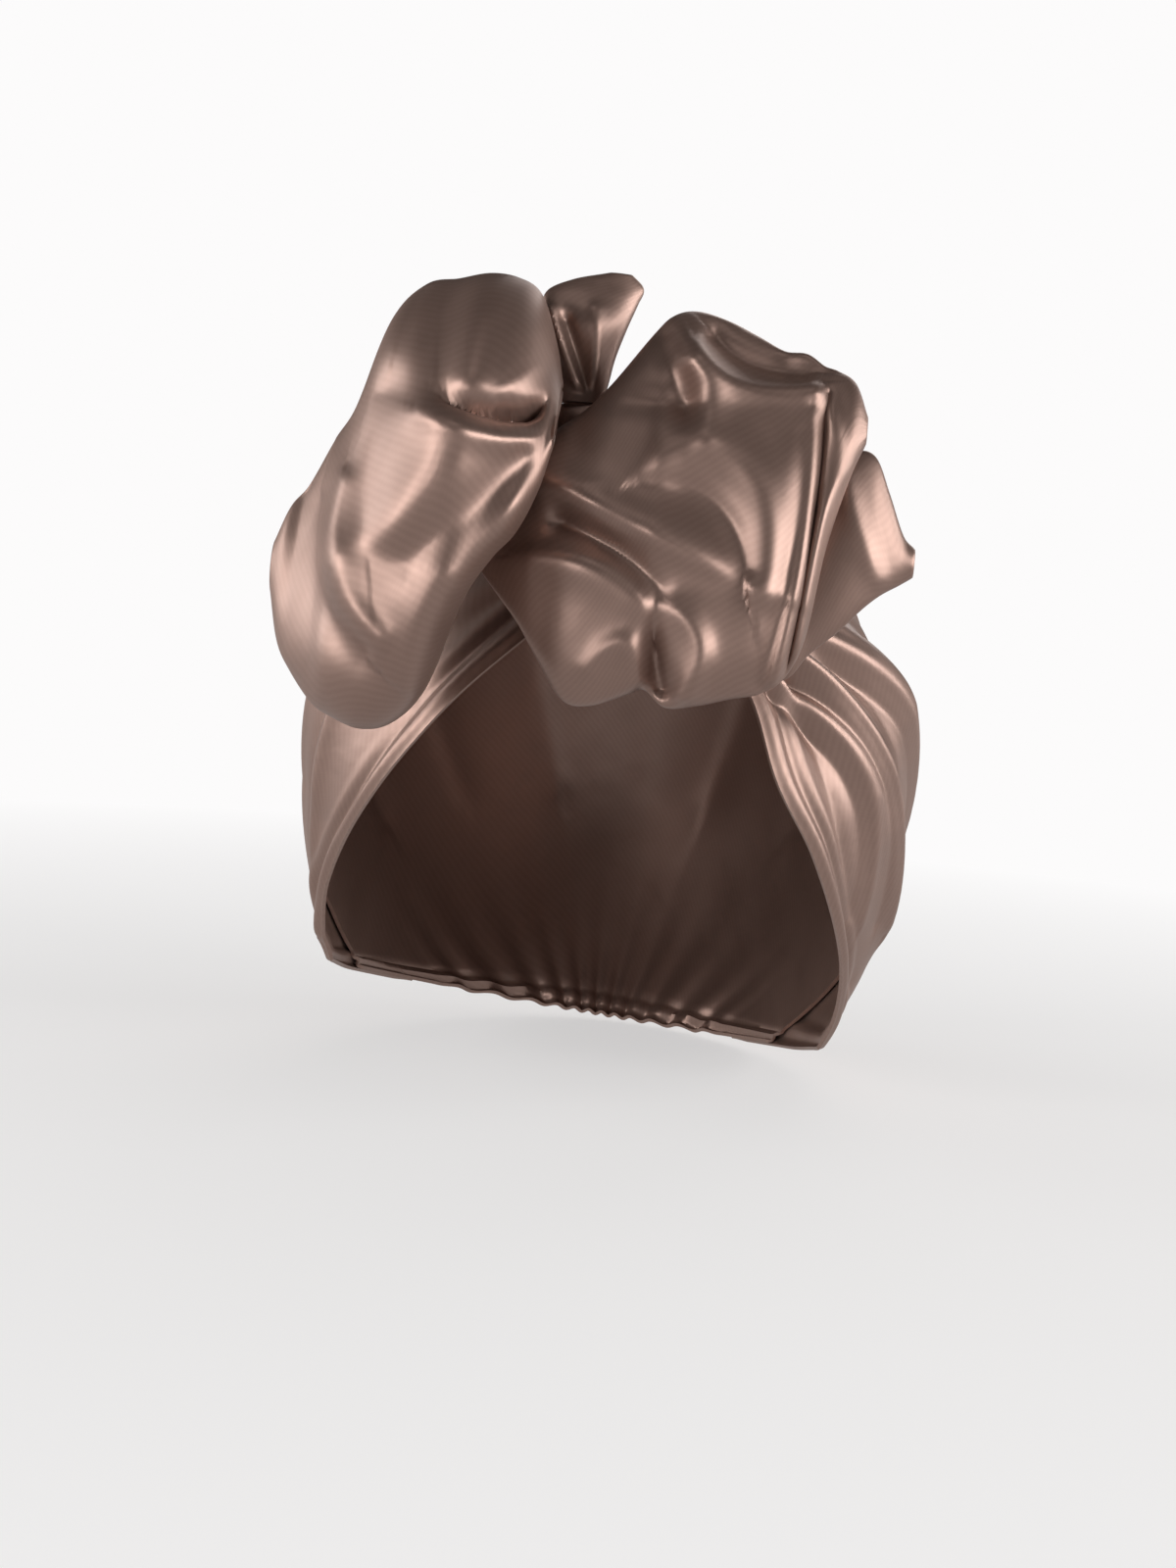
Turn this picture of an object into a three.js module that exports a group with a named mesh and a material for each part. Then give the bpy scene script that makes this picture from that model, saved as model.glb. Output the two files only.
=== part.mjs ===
// A satin turban headwrap in its worn form: a pleated crown, two side wraps that meet at a knot over
// the forehead, and a bow of two puffed loops and two tails on that knot.
// Millimetres, +Z up, the wearer faces -Y, and the origin is the inside apex of the crown.
import * as THREE from 'three';

// ---- driving dimensions
const CLOTH = 1.6; // wall of every cloth piece
const HEAD = { halfWidth: 74, front: 93, back: 97, top: 88.5, below: 105, y: 3, z: -88.5 };
const FAN = { y: 0, z: -106, tilt: 50 }; // the pleats radiate from the knot, 50 degrees above level
const CROWN = { left: -97, right: 92, start: 8.5, lift: 1.2, across: 27, down: 23 };
const WRAP = { lift: 1.7, overCrown: 3, meets: 98, fade: 14, across: 15, down: 20 };
const HEM = { level: -142.7, slope: -0.2, tilt: -0.09 }; // the lower hem falls to the nape and to +X
const BOW_X = -2; // the bow sits a little to one side
const BAG = { along: 21, round: 26, inset: 1.6 };
const TUCK = { flattest: 4.4, slideRoom: 8, plainEnds: 0.05, foldedFrom: 0.16, frontOnly: 0.35 }; // limits on folds
const SKIN = { shortEnds: 0.6, atEnds: 8, atRims: 7, rimBand: 9 }; // how a bag's inner skin keeps off the outer
const MOUTH = { first: 0.38, last: 0.6 }; // the part of a ring that a loop's mouth leaves out
const TAIL = { along: 10, round: 14 };
const KNOT = { along: 11, round: 16 };
const FOLD_STEPS = 10; // straight steps along one fold's curve
const HALVINGS = 24; // of each search for a place on the head
const SEARCH = { reach: 220, hemFrom: 60, hemTo: 178 };
const SATIN = { color: '#7c645c', roughness: 0.38, metalness: 0.0 };

function table(columns, ...rows) {
  const names = columns.split(' ');
  return rows.map((row) => Object.fromEntries(names.map((name, i) => [name, row[i]])));
}

// ---- the head's own folds: curves over the fan's angles, in degrees
// (a is the angle round the knot, 0 over the top and positive to +X; b is the angle away from the knot)
const FOLD_COLUMNS = 'a0 b0 a1 b1 a2 b2 start end left right slide';
const HEAD_FOLDS = table(FOLD_COLUMNS,
  [104, 24, 124, 56, 112, 96, -2.2, -1.5, 4, 4, 0],
  [101, 26, 101, 55, 99, 92, 2.4, 1.6, 5, 4, 0],
  [89, 28, 86, 55, 88, 90, -2.4, -1.5, 4, 4, 0],
  [80, 30, 76, 50, 72, 78, 2.5, 2.5, 5, 4, 0],
  [78, 58, 80, 76, 94, 104, 7, 2, 26, 26, 0], // fullness over the right ear
  [-78, 48, -84, 58, -90, 72, 7.5, 1, 22, 18, 0], // fullness beside the left loop
  [-52, 20, -50, 60, -45, 110, 1.5, 0, 7, 7, 0],
  [-30, 16, -28, 60, -24, 110, 1.8, 0, 6, 8, 0],
  [-8, 16, -8, 60, -6, 110, 1.5, 0, 7, 6, 0],
  [14, 16, 14, 60, 10, 110, 1.8, 0, 6, 8, 0],
  [40, 16, 38, 60, 30, 110, 1.5, 0, 7, 7, 0]);

// ---- the side wraps, from the knot to the lower hem: the edge round the face and the edge on the crown
const WRAP_COLUMNS = 'frontA frontB backA backB';
const LEFT_WRAP = table(WRAP_COLUMNS,
  [-143, 9.5, -84, 9.5],
  [-134, 24, -82, 26],
  [-129, 37, -81, 42],
  [-124.5, 50, -80, 60],
  [-120, 62, -80, 78],
  [-117, 74, -80, 94],
  [-115.5, 86, -80, 109],
  [-115, 97, -80, 124]);
const RIGHT_WRAP = table(WRAP_COLUMNS,
  [116, 9.5, 84, 9.5],
  [121, 24, 81, 26],
  [129, 37, 76, 42],
  [126.5, 51, 71, 60],
  [123.5, 65, 70, 78],
  [120, 79, 72, 94],
  [117.5, 92, 75, 110],
  [116, 106, 78, 126]);

// ---- bow pieces: sections along the piece, each a ring from low to high that bulges front and back
const SECTION_COLUMNS = 'at low high lowY highY front back';
const LEFT_LOOP = table(SECTION_COLUMNS,
  [-9.5, -3, 11, -120, -103, 5, 4],
  [-12, -13, 21, -121, -101, 9, 6],
  [-16, -22, 31, -121, -99, 16, 9],
  [-21, -28, 34, -120, -99, 21, 14],
  [-27, -38, 34.5, -118, -99, 26, 20],
  [-34, -57, 33, -113, -98, 28, 25],
  [-41, -65, 31.5, -109, -97, 28, 27],
  [-48, -67, 24, -107, -95, 26, 27],
  [-55, -65, 5, -104, -92, 22, 25],
  [-60, -62.5, -3, -101, -90, 16, 21],
  [-66, -56, -14, -97, -88, 10, 15],
  [-70, -50, -19, -93, -87, 7, 9],
  [-73, -39, -27, -89, -88, 4, 3.5]);
const LEFT_LOOP_FOLDS = table(FOLD_COLUMNS,
  [-8, 3, -24, -2, -38, 5, -22, -3, 5, 3, -4], // the tuck under the upper roll
  [-29, -4, -35, -25, -40, -50, 3, 4, 9, 9, 0],
  [-17, -9, -24, -18, -33, -30, -5, -3, 7, 7, 0],
  [-46, 5, -47, -12, -44, -33, -4, -4, 6, 6, 0],
  [-61, -22, -59, -34, -50, -57, -4, -4, 4, 8, 0]); // where the back lobe starts
const RIGHT_LOOP = table(SECTION_COLUMNS,
  [-24, -30.5, -23, -101, -101, 2, 2],
  [-21, -34, -16, -102, -101, 3, 2.5],
  [-15, -41, -7, -104, -101, 5, 4],
  [-10, -48.5, 1, -105, -101, 7, 5],
  [-4, -57, 6, -106, -100, 10, 6],
  [2, -58, 13, -106, -98, 12, 7],
  [10, -55, 25, -106, -92, 14, 9],
  [14, -53.5, 29.5, -106, -90, 15, 11],
  [19, -57, 31, -107, -88, 15, 12],
  [26, -56, 29.5, -107, -87, 15, 12],
  [33, -54, 26.5, -106, -87, 15, 11],
  [39, -52.5, 23.5, -105, -89, 14, 8],
  [44, -49, 23, -103, -91, 12, 6],
  [48, -40, 20.5, -101, -92, 9, 5],
  [51, -20, 19.5, -99, -93, 7, 4],
  [55, -4, 17, -98, -94, 5, 3],
  [58, 4, 10, -96, -95, 2.5, 2.5]);
const RIGHT_LOOP_FOLDS = table(FOLD_COLUMNS,
  [-11, -7, 8, -18, 37, -32, 4, 3, 3.5, 5, 0],
  [-14, -19, 6, -20, 17, -35, 2.5, 4, 3, 3, 0],
  [-2, -27, 16, -30, 17, -50, -3, -5, 2.5, 2.5, 0],
  [8, -58, 11, -36, 15, -58, 3, 3, 2, 2, 0],
  [19, -56, 22, -32, 26, -54, 4, 3, 2.2, 2.5, 0],
  [18, 20, 17, 8, 22, 4, -4, -2, 4, 4, 0],
  [23, 13, 24, 2, 10, -6, 3, 3, 4, 3, 0],
  [23, -8, 31, -14, 31, -26, -5, -3, 5, 4, 0],
  [17, 29, 26, 17, 46, 20, -5, -9, 3, 2, 0],
  [46, 12, 48, -25, 43, -48, -5, -5, 1.2, 1.5, 0]);
const TOP_TAIL = table(SECTION_COLUMNS,
  [9, -11, -1.5, -91, -90, 3, 3],
  [14, -12, -0.5, -90, -88, 3.5, 3],
  [20, -13.5, 0.5, -89, -86, 4, 3],
  [27, -15, 2.5, -89, -84, 5, 3],
  [33, -15.5, 4.5, -88, -82, 4, 2.8],
  [36.5, -10, 5.5, -86, -81, 3, 2.6],
  [39, -3, 4.5, -83, -82, 2.8, 2.8]);
const TOP_TAIL_FOLDS = table(FOLD_COLUMNS,
  [32, -16, 24, -13, 16, -9, 2, 2, 3, 3, 0],
  [30, -9, 24, -7, 16, -5, -2, -2, 3, 3, 0]);
const RIGHT_TAIL = table(SECTION_COLUMNS,
  [13, -30, -14, -79, -78, 3, 3],
  [22, -37, -12, -81, -79, 3.4, 3.4],
  [34, -44, -14, -84, -82, 3.4, 3.4],
  [44, -49.5, -20, -89, -87, 3, 3],
  [50, -43, -8, -89.5, -88, 2.8, 2.8],
  [56, -37.5, 1.5, -89, -88, 3, 2.8],
  [61, -32, 2, -88, -87, 3, 2.8],
  [65, -28.5, -6, -86, -86, 2.8, 2.8],
  [69, -26, -15, -84, -84, 2.8, 2.8],
  [72, -24, -18, -83, -83, 2.6, 2.6]);
const RIGHT_TAIL_FOLDS = table(FOLD_COLUMNS,
  [54, -2, 58, -15, 64, -25, 1.5, 1, 3, 3, 0]);
const KNOT_ROLL = table(SECTION_COLUMNS,
  [-43, -5, 5, -78, -77, 3, 3],
  [-36, -8.5, 9, -78, -78, 8, 8],
  [-26, -12, 11, -79, -79, 13, 13],
  [-14, -12, 10, -83, -83, 11, 14],
  [-2, -11, 8, -87, -87, 7, 12],
  [5, -9, 5, -88, -88, 5.5, 7],
  [8.4, -7, 2, -89, -89, 3, 3]);

// ---- curves and folds
const degrees = THREE.MathUtils.degToRad;
const clamp = THREE.MathUtils.clamp;

// One column of a table as a smooth curve through its rows, at running from 0 to the last row.
function column(rows, name, at) {
  const i = Math.min(Math.floor(at), rows.length - 2);
  const t = at - i;
  const p1 = rows[i][name];
  const p2 = rows[i + 1][name];
  const p0 = i > 0 ? rows[i - 1][name] : 2 * p1 - p2;
  const p3 = i < rows.length - 2 ? rows[i + 2][name] : 2 * p2 - p1;
  const square = 2 * p0 - 5 * p1 + 4 * p2 - p3;
  const cube = 3 * p1 - p0 - 3 * p2 + p3;
  return (2 * p1 + (p2 - p0) * t + square * t * t + cube * t * t * t) / 2;
}

// How far one fold raises the cloth at (a, b): a soft ridge, or a valley, along its curve.
function foldAt(fold, a, b) {
  const start = new THREE.Vector2(fold.a0, fold.b0);
  const middle = new THREE.Vector2(fold.a1, fold.b1);
  const end = new THREE.Vector2(fold.a2, fold.b2);
  const curve = new THREE.QuadraticBezierCurve(start, middle, end);
  let nearest = Infinity;
  let width = fold.left;
  let along = 0;
  let from = curve.getPoint(0);
  for (let i = 0; i < FOLD_STEPS; i++) {
    const to = curve.getPoint((i + 1) / FOLD_STEPS);
    const step = to.clone().sub(from);
    const offset = new THREE.Vector2(a, b).sub(from);
    const s = clamp(offset.dot(step) / step.lengthSq(), 0, 1);
    offset.addScaledVector(step, -s);
    if (offset.length() < nearest) {
      nearest = offset.length();
      width = step.cross(offset) > 0 ? fold.left : fold.right;
      along = (i + s) / FOLD_STEPS;
    }
    from = to;
  }
  const profile = Math.exp(-((nearest / width) ** 2));
  return { raise: profile * (fold.start + (fold.end - fold.start) * along), slide: profile * fold.slide };
}

// ---- closed walls from grids of points
function gridFaces(rows, columns, closed, open = () => false) {
  const faces = [];
  for (let i = 0; i < rows - 1; i++) {
    for (let j = 0; j < (closed ? columns : columns - 1); j++) {
      const next = (j + 1) % columns;
      const quad = [i * columns + j, i * columns + next, (i + 1) * columns + next, (i + 1) * columns + j];
      if (!open(i, j)) faces.push(quad);
    }
  }
  return faces;
}

function capFaces(row, columns, centre, reversed) {
  const faces = [];
  for (let j = 0; j < columns; j++) {
    const here = row * columns + j;
    const next = row * columns + ((j + 1) % columns);
    faces.push(reversed ? [centre, here, next] : [centre, next, here]);
  }
  return faces;
}

function bodyGeometry(points, faces) {
  const index = [];
  for (const face of faces) {
    for (let k = 1; k < face.length - 1; k++) index.push(face[0], face[k], face[k + 1]);
  }
  const geometry = new THREE.BufferGeometry();
  geometry.setAttribute('position', new THREE.Float32BufferAttribute(points.flatMap((p) => p.toArray()), 3));
  geometry.setIndex(index);
  geometry.computeVertexNormals();
  return geometry;
}

// An outer and an inner skin with the same faces, joined along every free edge.
function wallGeometry(outer, inner, faces) {
  const shift = outer.length;
  const edges = new Map();
  for (const face of faces) {
    face.forEach((a, k) => edges.set(`${a} ${face[(k + 1) % face.length]}`, [a, face[(k + 1) % face.length]]));
  }
  const rims = [];
  for (const [a, b] of edges.values()) {
    if (!edges.has(`${b} ${a}`)) rims.push([b, a, a + shift, b + shift]);
  }
  const insides = faces.map(([first, ...rest]) => [first, ...rest.reverse()].map((k) => k + shift));
  return bodyGeometry([...outer, ...inner], [...faces, ...insides, ...rims]);
}

// ---- cloth round the head
function headReach(direction) {
  let near = 0;
  let far = SEARCH.reach;
  for (let i = 0; i < HALVINGS; i++) {
    const middle = (near + far) / 2;
    const x = middle * direction.x;
    const y = FAN.y + middle * direction.y - HEAD.y;
    const z = FAN.z + middle * direction.z - HEAD.z;
    const depth = y < 0 ? HEAD.front : HEAD.back;
    const height = z > 0 ? HEAD.top : HEAD.below;
    if ((x / HEAD.halfWidth) ** 2 + (y / depth) ** 2 + (z / height) ** 2 > 1) far = middle;
    else near = middle;
  }
  return near;
}

function onHead(a, b, lift) {
  const toKnot = new THREE.Vector3(0, -Math.cos(degrees(FAN.tilt)), Math.sin(degrees(FAN.tilt)));
  const overTop = new THREE.Vector3(0, Math.sin(degrees(FAN.tilt)), Math.cos(degrees(FAN.tilt)));
  const direction = toKnot.multiplyScalar(Math.cos(degrees(b)));
  direction.addScaledVector(overTop, Math.sin(degrees(b)) * Math.cos(degrees(a)));
  direction.x += Math.sin(degrees(b)) * Math.sin(degrees(a));
  const reach = headReach(direction) + lift;
  return direction.multiplyScalar(reach).add(new THREE.Vector3(0, FAN.y, FAN.z));
}

// The angle from the knot at which the cloth reaches its lower hem.
function hemAngle(a) {
  let near = SEARCH.hemFrom;
  let far = SEARCH.hemTo;
  for (let i = 0; i < HALVINGS; i++) {
    const middle = (near + far) / 2;
    const point = onHead(a, middle, 0);
    if (point.z < HEM.level + HEM.slope * point.y + HEM.tilt * point.x) far = middle;
    else near = middle;
  }
  return near;
}

function headFolds(a, b) {
  return HEAD_FOLDS.reduce((sum, fold) => sum + foldAt(fold, a, b).raise, 0);
}

function headWall(angles, rows, columns) {
  const outer = [];
  const inner = [];
  for (let i = 0; i < rows; i++) {
    for (let j = 0; j < columns; j++) {
      const { a, b, lift } = angles(i / (rows - 1), j / (columns - 1));
      const folded = lift + headFolds(a, b);
      outer.push(onHead(a, b, folded + CLOTH / 2));
      inner.push(onHead(a, b, folded - CLOTH / 2));
    }
  }
  return { outer, inner };
}

function crown() {
  const hems = new Map();
  const place = (down, across) => {
    const a = THREE.MathUtils.lerp(CROWN.left, CROWN.right, across);
    if (!hems.has(a)) hems.set(a, hemAngle(a));
    return { a, b: THREE.MathUtils.lerp(CROWN.start, hems.get(a), down), lift: CROWN.lift };
  };
  const { outer, inner } = headWall(place, CROWN.down, CROWN.across);
  return wallGeometry(outer, inner, gridFaces(CROWN.down, CROWN.across, false));
}

function sideWrap(rows, facing) {
  const last = rows.length - 1;
  const place = (down, across) => {
    const at = down * last;
    const a = THREE.MathUtils.lerp(column(rows, 'backA', at), column(rows, 'frontA', at), across);
    const straight = THREE.MathUtils.lerp(column(rows, 'backB', at), column(rows, 'frontB', at), across);
    const endA = THREE.MathUtils.lerp(rows[last].backA, rows[last].frontA, across);
    const endB = THREE.MathUtils.lerp(rows[last].backB, rows[last].frontB, across);
    const b = straight + (hemAngle(endA) - endB) * down ** 3;
    const over = THREE.MathUtils.smoothstep(WRAP.meets + WRAP.fade - Math.abs(a), 0, WRAP.fade);
    return { a, b, lift: WRAP.lift + WRAP.overCrown * over };
  };
  const { outer, inner } = headWall(place, WRAP.down, WRAP.across);
  const faces = gridFaces(WRAP.down, WRAP.across, false);
  return wallGeometry(outer, inner, facing > 0 ? faces : faces.map((f) => f.reverse()));
}

// ---- the bow: bags of cloth made of rings
// inset draws the ring inwards, for the bag's inner skin.
function bagPoint(rows, folds, down, turn, inset) {
  const at = down * (rows.length - 1);
  const low = column(rows, 'low', at);
  const high = column(rows, 'high', at);
  const side = Math.sin(turn);
  const facing = Math.cos(turn);
  const across = (low + high) / 2 + ((high - low) / 2) * side;
  const front = column(rows, 'front', at);
  const back = column(rows, 'back', at);
  const rimY = (column(rows, 'lowY', at) + column(rows, 'highY', at)) / 2;
  const leanY = (column(rows, 'highY', at) - column(rows, 'lowY', at)) / 2;
  const along = column(rows, 'at', at);
  const room = Math.max(front + back - TUCK.flattest, 0) * Math.abs(facing);
  const fromEnds = THREE.MathUtils.smoothstep(Math.min(down, 1 - down), TUCK.plainEnds, TUCK.foldedFrom);
  const share = THREE.MathUtils.smoothstep(facing, 0, TUCK.frontOnly) * fromEnds;
  let raise = 0;
  let slide = 0;
  for (const fold of folds) {
    const effect = foldAt(fold, along, across);
    raise += effect.raise * share;
    slide += effect.slide * share;
  }
  if (raise < 0) raise = -room * (1 - Math.exp(raise / Math.max(room, 0.01)));
  slide *= 1 - Math.exp(-room / TUCK.slideRoom);
  const y = rimY + leanY * side - ((facing > 0 ? front : back) - inset) * facing - raise;
  return { along, across: across + slide - rimShift((high - low) / 2, side, inset), y };
}

// The inner skin keeps off the rims: only near them on a wide ring, and evenly on a narrow one.
function rimShift(half, side, inset) {
  if (inset === 0) return 0;
  const wide = clamp((half - inset) / (SKIN.rimBand * inset), 0, 1);
  return inset * (wide * side ** SKIN.atRims + (1 - wide) * side);
}

// The inner skin's rings stop short of a closed end.
function ringPlace(i, size, rows, inset, closedStart) {
  const down = i / (size.along - 1);
  const short = (Math.sign(inset) * SKIN.shortEnds) / (rows.length - 1);
  const fromStart = closedStart ? (1 - down) ** SKIN.atEnds : 0;
  return down + short * (fromStart - down ** SKIN.atEnds);
}

// A bag closed at its far end; mouth says which faces are left out as its opening.
function bag(rows, folds, size, upright, mouth, closedStart) {
  const skins = [0, BAG.inset].map((inset) => {
    const points = [];
    for (let i = 0; i < size.along; i++) {
      for (let j = 0; j < size.round; j++) {
        const turn = (j / size.round) * 2 * Math.PI;
        const p = bagPoint(rows, folds, ringPlace(i, size, rows, inset, closedStart), turn, inset);
        const [x, z] = upright ? [p.across, p.along] : [p.along, p.across];
        points.push(new THREE.Vector3(x + BOW_X, p.y, z));
      }
    }
    const ends = [points.slice(0, size.round), points.slice(-size.round)];
    for (const ring of ends) {
      points.push(ring.reduce((sum, p) => sum.add(p), new THREE.Vector3()).divideScalar(size.round));
    }
    return points;
  });
  const count = size.along * size.round;
  const faces = gridFaces(size.along, size.round, true, mouth);
  if (closedStart) faces.push(...capFaces(0, size.round, count, false));
  faces.push(...capFaces(size.along - 1, size.round, count + 1, true));
  return { skins, faces };
}

function usedOnly(points, faces) {
  const order = new Map();
  for (const face of faces) for (const k of face) if (!order.has(k)) order.set(k, order.size);
  const kept = [...order.keys()].map((k) => points[k]);
  return { kept, faces: faces.map((face) => face.map((k) => order.get(k))) };
}

function bagGeometry(rows, folds, size, { upright = false, turned = false, mouth, closedStart = true }) {
  const made = bag(rows, folds, size, upright, mouth, closedStart);
  const faces = turned ? made.faces.map((face) => [...face].reverse()) : made.faces;
  const outer = usedOnly(made.skins[0], faces);
  const inner = usedOnly(made.skins[1], faces);
  return wallGeometry(outer.kept, inner.kept, outer.faces);
}

// The loops open towards the knot, through a mouth in their back wall.
function backMouth(firstRow, lastRow) {
  const first = Math.round(BAG.round * MOUTH.first);
  const last = Math.round(BAG.round * MOUTH.last);
  return (i, j) => i >= firstRow && i < lastRow && j >= first && j < last;
}

function knotGeometry() {
  const made = bag(KNOT_ROLL, [], KNOT, true, undefined, true);
  return bodyGeometry(made.skins[0], made.faces);
}

// ---- the assembly
const turban = new THREE.Group();

function addPiece(name, geometry) {
  const piece = new THREE.Mesh(geometry, new THREE.MeshStandardMaterial(SATIN));
  piece.name = name;
  turban.add(piece);
}

addPiece('crown', crown());
addPiece('left_side_wrap', sideWrap(LEFT_WRAP, -1));
addPiece('right_side_wrap', sideWrap(RIGHT_WRAP, 1));
addPiece('knot', knotGeometry());
addPiece('left_loop', bagGeometry(LEFT_LOOP, LEFT_LOOP_FOLDS, BAG, { mouth: backMouth(4, 8) }));
addPiece('right_loop', bagGeometry(RIGHT_LOOP, RIGHT_LOOP_FOLDS, BAG, { mouth: backMouth(5, 9), turned: true }));
addPiece('top_tail', bagGeometry(TOP_TAIL, TOP_TAIL_FOLDS, TAIL, { upright: true, closedStart: false }));
addPiece('right_tail', bagGeometry(RIGHT_TAIL, RIGHT_TAIL_FOLDS, TAIL, { turned: true, closedStart: false }));

export default turban;
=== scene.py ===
"""A satin turban headwrap in its worn form, finished around the frame's solids.

Tables and heights are in millimetres, as a maker would mark them on the cloth, and every mesh is
in metres: +Z up, the wearer faces -Y, and the origin is the inside apex of the crown.
"""
from math import cos, pi, radians, sin

import bpy
import numpy as np
from mathutils import Matrix, Vector


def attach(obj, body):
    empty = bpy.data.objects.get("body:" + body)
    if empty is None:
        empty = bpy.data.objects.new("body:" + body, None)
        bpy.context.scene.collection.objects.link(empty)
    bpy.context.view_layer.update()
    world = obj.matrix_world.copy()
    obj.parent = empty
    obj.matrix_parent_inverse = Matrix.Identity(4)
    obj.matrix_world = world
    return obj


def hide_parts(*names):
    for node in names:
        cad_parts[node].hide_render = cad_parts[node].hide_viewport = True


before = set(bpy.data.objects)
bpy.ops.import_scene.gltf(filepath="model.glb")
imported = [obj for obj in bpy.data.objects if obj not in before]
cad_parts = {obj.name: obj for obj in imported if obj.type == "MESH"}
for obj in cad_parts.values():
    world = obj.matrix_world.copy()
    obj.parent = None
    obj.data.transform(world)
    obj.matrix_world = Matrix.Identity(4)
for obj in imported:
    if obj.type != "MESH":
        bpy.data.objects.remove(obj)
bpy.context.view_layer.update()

MM = 0.001
CLOTH = 1.0  # thickness of the satin with its lining, in millimetres

# ---- the head, the fan of pleats that starts at the knot, and the lower hem
HEAD = {"half_width": 74, "front": 93, "back": 97, "top": 88.5, "below": 105, "y": 3, "z": -88.5}
FAN_CENTRE = np.array([0.0, 0.0, -106.0])
FAN_TILT = radians(50)
CROWN = {"left": -97, "right": 92, "start": 8.5, "lift": 1.2, "mm_a_degree": 1.9}
CROWN_GRID = {"across": 190, "down": 170}
WRAP = {"lift": 1.7, "over_crown": 1.3, "meets": 98, "fade": 14, "mm_a_degree": 1.2, "length": 120}
WRAP_BACK_EDGE = {"lies_down": 0.55, "width": 0.14}  # shares of the rise over the crown and of the width
WRAP_GRID = {"across": 100, "down": 170}
HEM = {"level": -142.7, "slope": -0.2, "tilt": -0.09}
BOW_X = -2  # the bow's middle
SEARCH = {"reach": 220, "from": 60, "to": 178, "halvings": 24}

# how closely the bow's rings are drawn, and how its folds are held inside the cloth
LOOP = {"along": 150, "round": 190}
TAIL = {"along": 70, "round": 80}
KNOT = {"along": 60, "round": 72}
TUCK = {"flattest": 4.4, "slide_room": 8, "front_only": 0.35}
PLAIN_ENDS = {"none_before": 0.05, "folded_from": 0.16}  # shares of a piece's length
FOLD_STEPS = 12

# a loop's mouth, in shares of the turn round its back wall and of the way along each loop
MOUTH = {"first": 0.88, "last": 1.1}
LEFT_MOUTH = (0.2, 0.4)
RIGHT_MOUTH = (0.25, 0.45)


def table(columns, *rows):
    names = columns.split()
    return [dict(zip(names, row)) for row in rows]


# ---- rolled hem and gathers
ROLLED_HEM = table(
    "height at width",
    (1.1, 2.2, 1.5),  # the bead on the edge
    (-0.5, 5, 1.2),  # the stitched line beside it
    (0.6, 7.5, 1.6),  # a soft ridge after it
)
KNOT_GATHERS = {"height": 1.1, "reach": 18, "count": 19, "uneven": 1.4, "waves": 3, "from": 8}
NAPE_GATHERS = {"height": 1.2, "reach": 9, "count": 31, "uneven": 2.2, "waves": 4, "to": 76, "fade": 14}

# ---- folds. A row is a curve through three points, its height at the start and the end, which is
# below zero for a valley, its width to the left and the right, and how far it slides the cloth.
FOLD = "a0 b0 a1 b1 a2 b2 start end left right slide"

# folds of the head and its wraps, over the fan's angles in degrees
HEAD_FOLDS = table(
    FOLD,
    # sharp pleats of the right wrap, which open out from the bow
    (111, 27, 97, 49, 112, 76, 2.4, 1.0, 3.5, 1.8, 0),
    (115, 28, 101, 49, 116, 72, -1.8, -0.6, 1.8, 3, 0),
    (102, 28, 91, 51, 100, 88, 2.8, 1.2, 4, 1.8, 0),
    (106, 29, 95, 51, 104, 84, -2.0, -0.8, 1.6, 2.4, 0),
    (90, 26, 74, 50, 80, 90, 2.6, 1.4, 4, 1.8, 0),
    (94, 27, 78, 50, 84, 88, -2.0, -0.8, 1.6, 2.6, 0),
    # pleats of the left wrap
    (-94, 34, -104, 52, -113, 90, 3.0, 1.6, 3, 4.5, 0),
    (-89, 36, -96, 54, -105, 92, -2.2, -1.2, 3.5, 3, 0),
    (-82, 40, -86, 60, -96, 96, 2.0, 1.2, 3.5, 3.5, 0),
    (-120, 34, -118, 52, -119, 70, -1.8, -0.6, 4.5, 4.5, 0),
    # softer folds between the right wrap's pleats
    (104, 24, 124, 56, 112, 96, -2.2, -1.5, 4, 4, 0),
    (101, 26, 101, 55, 99, 92, 2.4, 1.6, 5, 4, 0),
    (89, 28, 86, 55, 88, 90, -2.4, -1.5, 4, 4, 0),
    (80, 30, 76, 50, 72, 78, 2.5, 2.5, 5, 4, 0),
    # the fullness over each side of the head
    (78, 58, 80, 76, 94, 104, 7, 2, 26, 26, 0),
    (-78, 48, -84, 58, -90, 72, 7.5, 1, 22, 18, 0),
    # wide swells over the crown
    (-52, 20, -50, 60, -45, 110, 1.5, 0, 7, 7, 0),
    (-30, 16, -28, 60, -24, 110, 1.8, 0, 6, 8, 0),
    (-8, 16, -8, 60, -6, 110, 1.5, 0, 7, 6, 0),
    (14, 16, 14, 60, 10, 110, 1.8, 0, 6, 8, 0),
    (40, 16, 38, 60, 30, 110, 1.5, 0, 7, 7, 0),
)

# the crown's own drape lines, from the knot over to the nape
CROWN_FOLDS = table(
    FOLD,
    (-62, 16, -64, 60, -58, 112, 2.2, 0.8, 2.5, 6, 0),
    (-41, 14, -43, 60, -34, 118, -1.8, -0.6, 3, 5, 0),
    (-19, 14, -22, 60, -12, 120, 2.4, 0.8, 6, 2.5, 0),
    (3, 14, 1, 60, 6, 118, -1.8, -0.6, 5, 3, 0),
    (24, 14, 27, 60, 20, 120, 2.4, 0.8, 2.5, 6, 0),
    (52, 16, 55, 60, 43, 116, 2.2, 0.8, 6, 2.5, 0),
    (66, 20, 64, 60, 60, 110, -1.6, -0.5, 3, 4, 0),
)

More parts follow.
